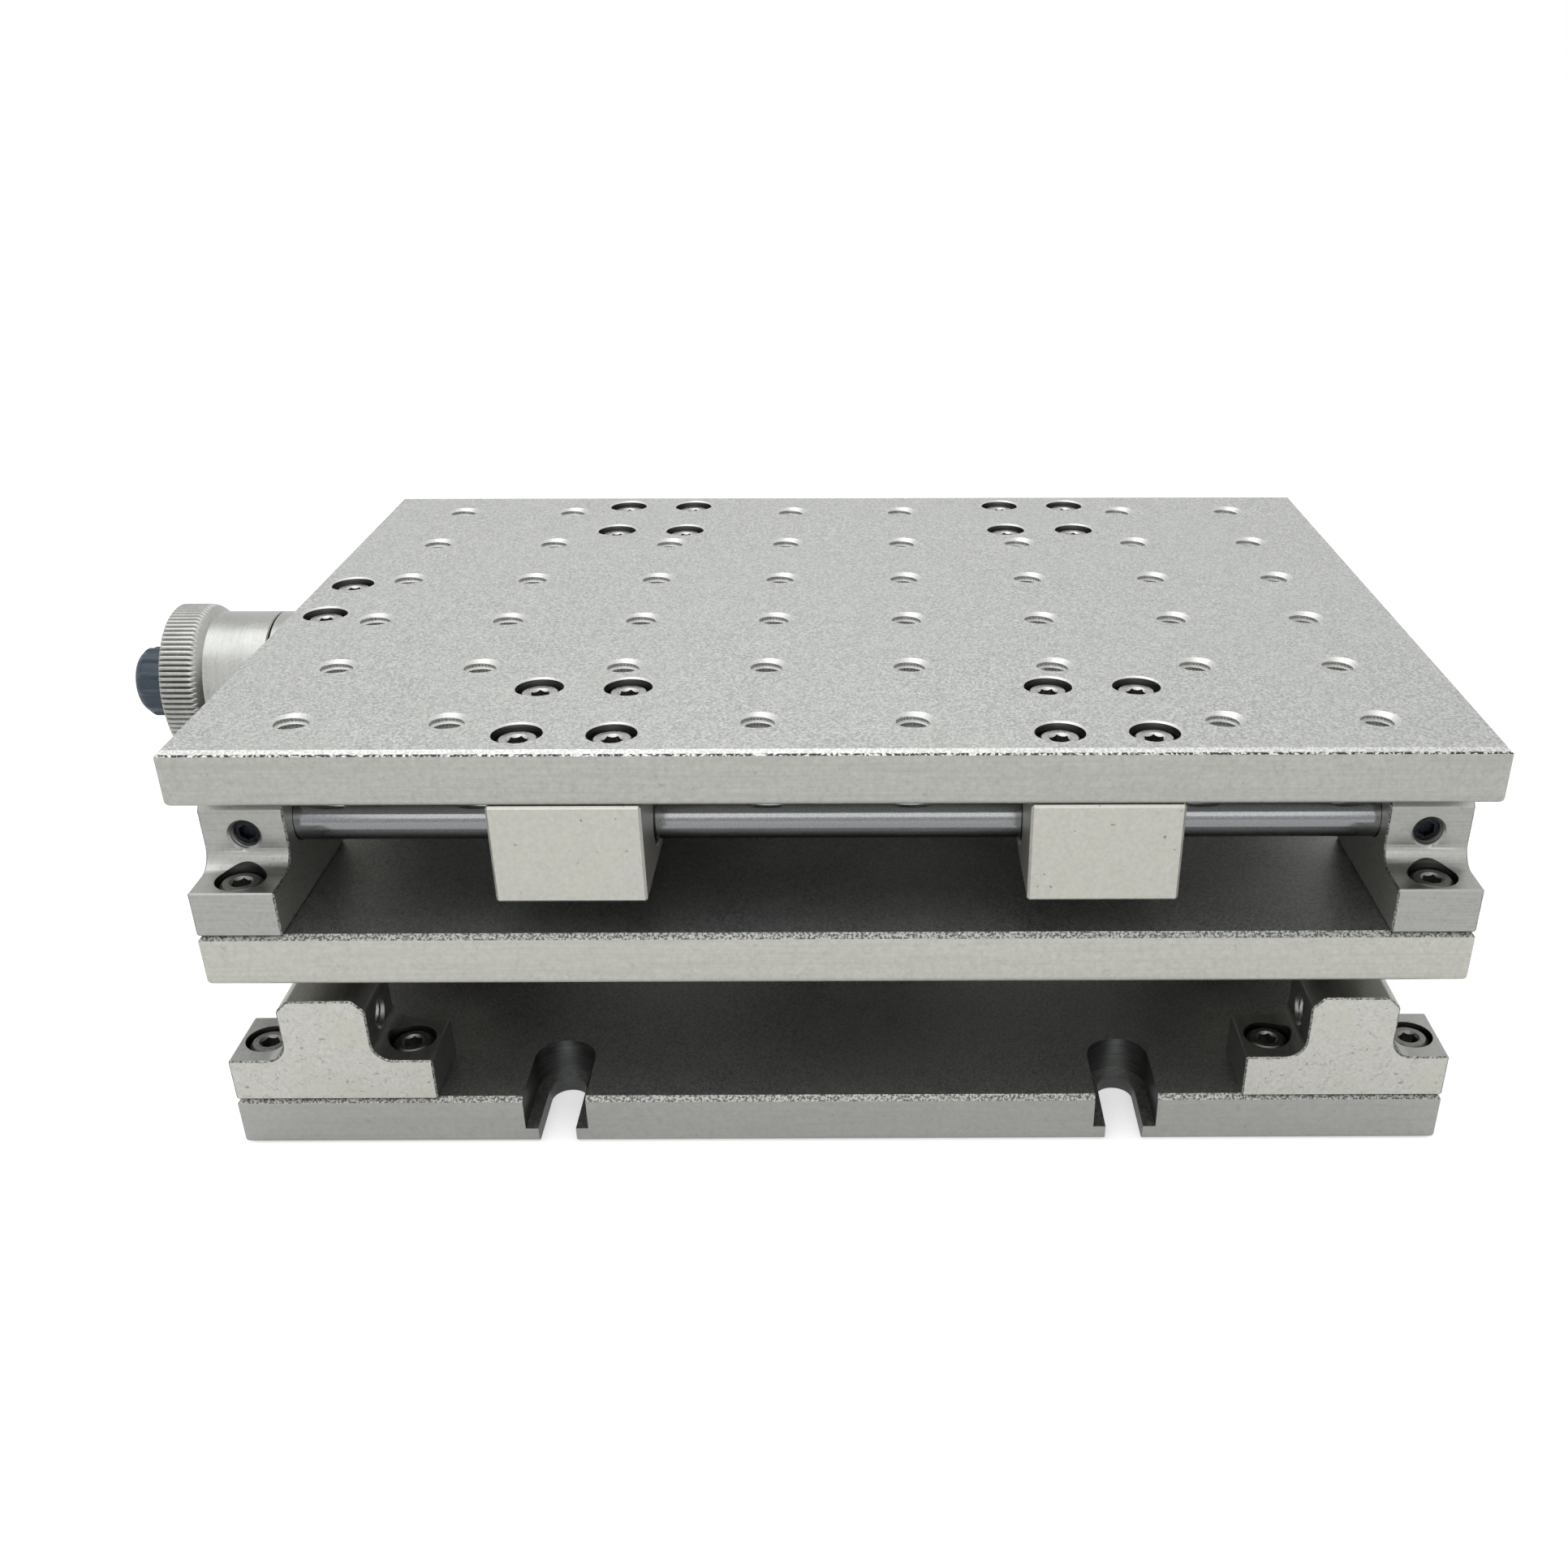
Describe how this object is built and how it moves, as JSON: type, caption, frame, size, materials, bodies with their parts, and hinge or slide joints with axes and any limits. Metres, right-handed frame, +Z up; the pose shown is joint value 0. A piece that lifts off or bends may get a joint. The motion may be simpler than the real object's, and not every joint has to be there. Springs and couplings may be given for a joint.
{
  "type": "xy table",
  "caption": "Hand-driven cross table: stacked aluminium plates slide at right angles on round shafts, each moved by a lead screw with a knurled handwheel; the top has tapped holes.",
  "frame": {"origin": "centre of the base plate's underside", "axes": "+X along the plates' long side, away from the X handwheel; +Y towards the Y handwheel, from front to rear; +Z up"},
  "size_m": [0.2444, 0.1844, 0.075],
  "materials": {
    "blasted_plate": "bead blasted and clear anodised",
    "milled_block": "extruded, sawn and clear anodised",
    "ground_shaft": "hardened, ground and polished",
    "bush_polymer": "moulded bearing polymer",
    "nut_brass": "machined",
    "rolled_screw": "rolled thread",
    "turned_dial": "turned, straight knurled and clear anodised",
    "set_screw_steel": "bright",
    "cap_screw_steel": "bright zinc",
    "knob_plastic": "moulded, satin"
  },
  "bodies": {
    "base": {"base_plate": "blasted_plate", "y_end_block_front_left": "milled_block", "y_end_block_front_right": "milled_block", "y_end_block_rear_left": "milled_block", "y_end_block_rear_right": "milled_block", "y_set_screws": "set_screw_steel", "y_shaft_left": "ground_shaft", "y_shaft_right": "ground_shaft", "lower_block_screws": "cap_screw_steel", "y_nut_block": "milled_block", "y_lead_nut": "nut_brass"},
    "cross_carriage": {"middle_plate": "blasted_plate", "y_bearing_block_front_left": "milled_block", "y_bearing_block_front_right": "milled_block", "y_bearing_block_rear_left": "milled_block", "y_bearing_block_rear_right": "milled_block", "y_bush_front_left": "bush_polymer", "y_bush_front_right": "bush_polymer", "y_bush_rear_left": "bush_polymer", "y_bush_rear_right": "bush_polymer", "middle_plate_screws": "cap_screw_steel", "x_end_block_front_left": "milled_block", "x_end_block_front_right": "milled_block", "x_end_block_rear_left": "milled_block", "x_end_block_rear_right": "milled_block", "x_set_screws": "set_screw_steel", "x_shaft_front": "ground_shaft", "x_shaft_rear": "ground_shaft", "upper_block_screws": "cap_screw_steel", "x_nut_block": "milled_block", "x_lead_nut": "nut_brass", "y_screw_bracket": "milled_block", "y_dial_sleeve": "turned_dial", "y_spindle_bush": "bush_polymer"},
    "table": {"table_plate": "blasted_plate", "x_bearing_block_front_left": "milled_block", "x_bearing_block_front_right": "milled_block", "x_bearing_block_rear_left": "milled_block", "x_bearing_block_rear_right": "milled_block", "x_bush_front_left": "bush_polymer", "x_bush_front_right": "bush_polymer", "x_bush_rear_left": "bush_polymer", "x_bush_rear_right": "bush_polymer", "table_plate_screws": "cap_screw_steel", "x_screw_bracket": "milled_block", "x_dial_sleeve": "turned_dial", "x_spindle_bush": "bush_polymer"},
    "x_spindle": {"x_lead_screw": "rolled_screw", "x_handwheel": "turned_dial"},
    "y_spindle": {"y_lead_screw": "rolled_screw", "y_handwheel": "turned_dial"},
    "x_knob": {"x_clamp_knob": "knob_plastic"},
    "y_knob": {"y_clamp_knob": "knob_plastic"}
  },
  "joints": [
    {"name": "y_slide", "type": "slide", "parent": "base", "child": "cross_carriage", "axis": [0, 1, 0], "range_m": [-0.025, 0.025]},
    {"name": "x_slide", "type": "slide", "parent": "cross_carriage", "child": "table", "axis": [1, 0, 0], "range_m": [-0.035, 0.035]},
    {"name": "x_spin", "type": "hinge", "parent": "table", "child": "x_spindle", "pos_m": [-0.105, 0, 0.058], "axis": [1, 0, 0], "range_deg": [-3240, 3240]},
    {"name": "y_spin", "type": "hinge", "parent": "cross_carriage", "child": "y_spindle", "pos_m": [0, 0.075, 0.02525], "axis": [0, 1, 0], "range_deg": [-2340, 2340]},
    {"name": "x_knob_turn", "type": "hinge", "parent": "x_spindle", "child": "x_knob", "pos_m": [-0.135, 0, 0.058], "axis": [-1, 0, 0], "range_deg": [0, 90]},
    {"name": "y_knob_turn", "type": "hinge", "parent": "y_spindle", "child": "y_knob", "pos_m": [0, 0.105, 0.02525], "axis": [0, 1, 0], "range_deg": [0, 90]}
  ],
  "couplings": [
    {"joint": "x_spin", "follows": "x_slide", "rad_per_m": 1570.8},
    {"joint": "y_spin", "follows": "y_slide", "rad_per_m": 1570.8}
  ]
}
